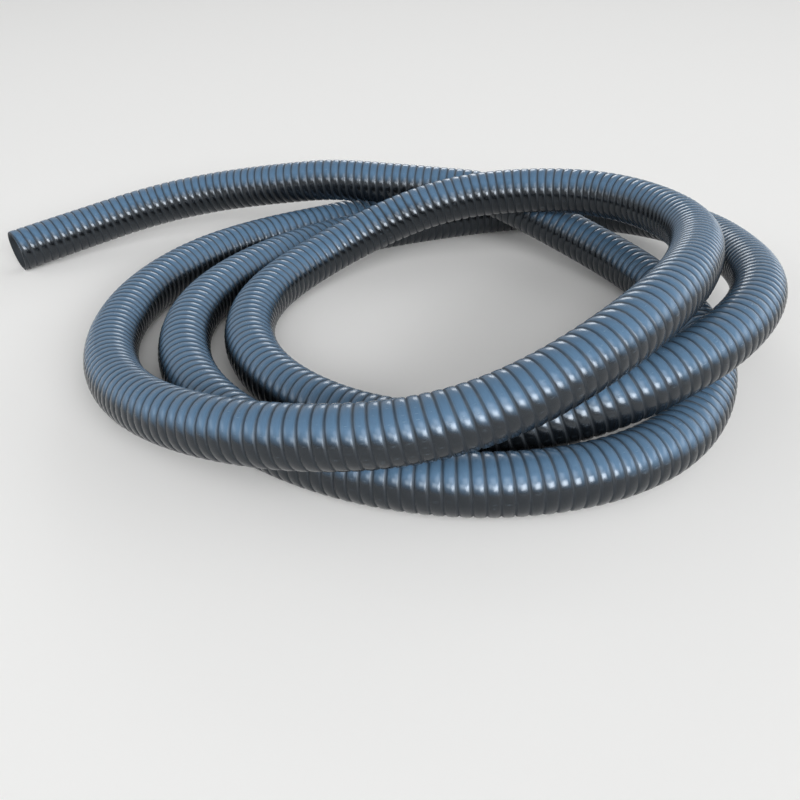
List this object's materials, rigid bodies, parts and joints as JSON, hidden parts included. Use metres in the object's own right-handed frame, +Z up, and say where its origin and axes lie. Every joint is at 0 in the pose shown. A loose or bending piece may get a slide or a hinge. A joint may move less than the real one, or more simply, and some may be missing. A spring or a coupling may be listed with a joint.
{
  "type": "vacuum hose",
  "caption": "Ribbed flexible suction hose lying in a loose round pile, its free end cut square and open.",
  "frame": {"origin": "on the floor, under the middle of the whole pile's plan", "axes": "+X to the right of the pile as pictured, away from the free end; +Y to its back; +Z up"},
  "size_m": [0.7762, 0.6168, 0.1341],
  "materials": {
    "tail_pvc": "glossy dark blue-grey plasticised PVC, lightly dusty in the grooves",
    "coil_pvc": "glossy dark blue-grey plasticised PVC, lightly dusty in the grooves"
  },
  "bodies": {
    "root": {"hose_tail": "tail_pvc", "hose_coil": "coil_pvc"}
  },
  "joints": []
}
